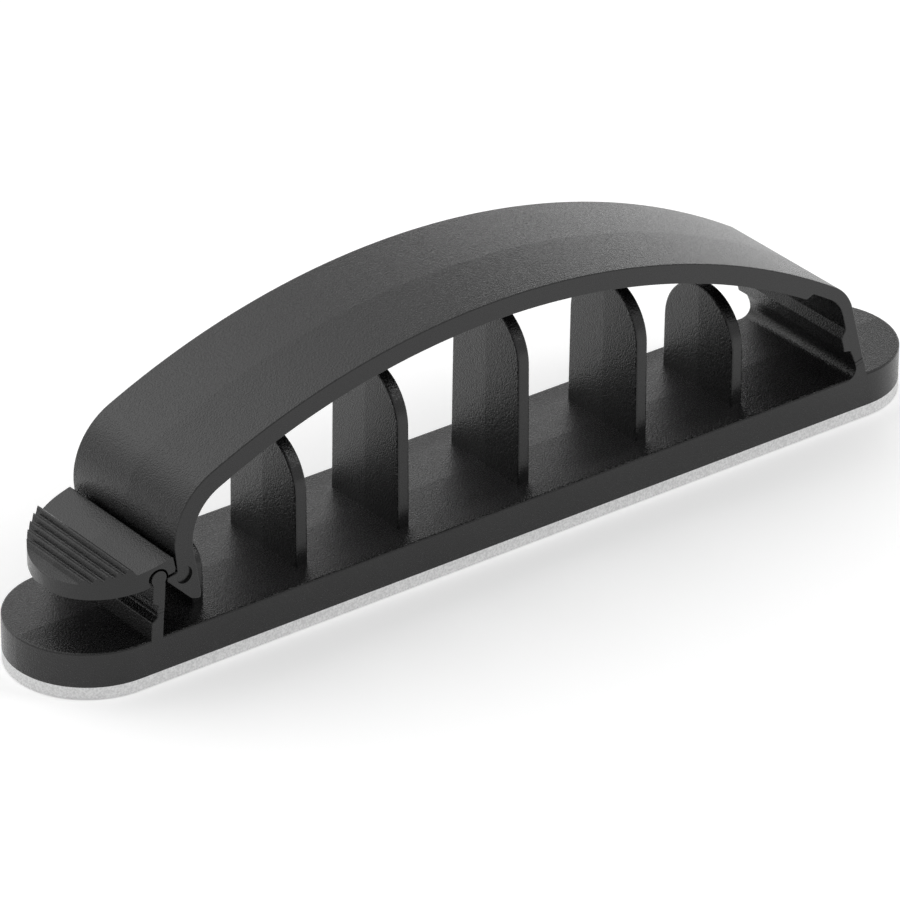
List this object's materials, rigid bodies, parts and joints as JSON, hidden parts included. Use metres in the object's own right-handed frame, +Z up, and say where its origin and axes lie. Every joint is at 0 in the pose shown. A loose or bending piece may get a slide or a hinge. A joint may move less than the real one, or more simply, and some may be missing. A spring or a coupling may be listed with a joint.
{
  "type": "cable clip",
  "caption": "Low adhesive cable clip with upright dividers on a stadium base and an arched strap that swings up from one end and latches under a ribbed thumb tab at the other",
  "frame": {"origin": "middle of the underside of the adhesive pad", "axes": "+X runs along the base towards the fixed end of the strap, +Y across the base away from the side the picture shows, +Z up away from the mounting surface"},
  "size_m": [0.102, 0.016, 0.0269],
  "materials": {
    "charcoal_plastic": "fine sand texture on the broad faces, matte",
    "tab_plastic": "fine sand texture, matte",
    "grey_foam": "light grey closed-cell foam, dull"
  },
  "bodies": {
    "base": {"base": "charcoal_plastic", "foam_pad": "grey_foam"},
    "strap": {"strap": "charcoal_plastic"},
    "latch": {"latch_wall": "charcoal_plastic", "thumb_tab": "tab_plastic"}
  },
  "joints": [
    {"name": "strap_hinge", "type": "hinge", "parent": "base", "child": "strap", "pos_m": [0.04138, 0, 0.00685], "axis": [0, 1, 0], "range_deg": [0, 100]},
    {"name": "latch_flex", "type": "hinge", "parent": "base", "child": "latch", "pos_m": [-0.04053, 0, 0.00745], "axis": [0, -1, 0], "range_deg": [0, 20], "stiffness_Nm_per_rad": 0.15}
  ]
}
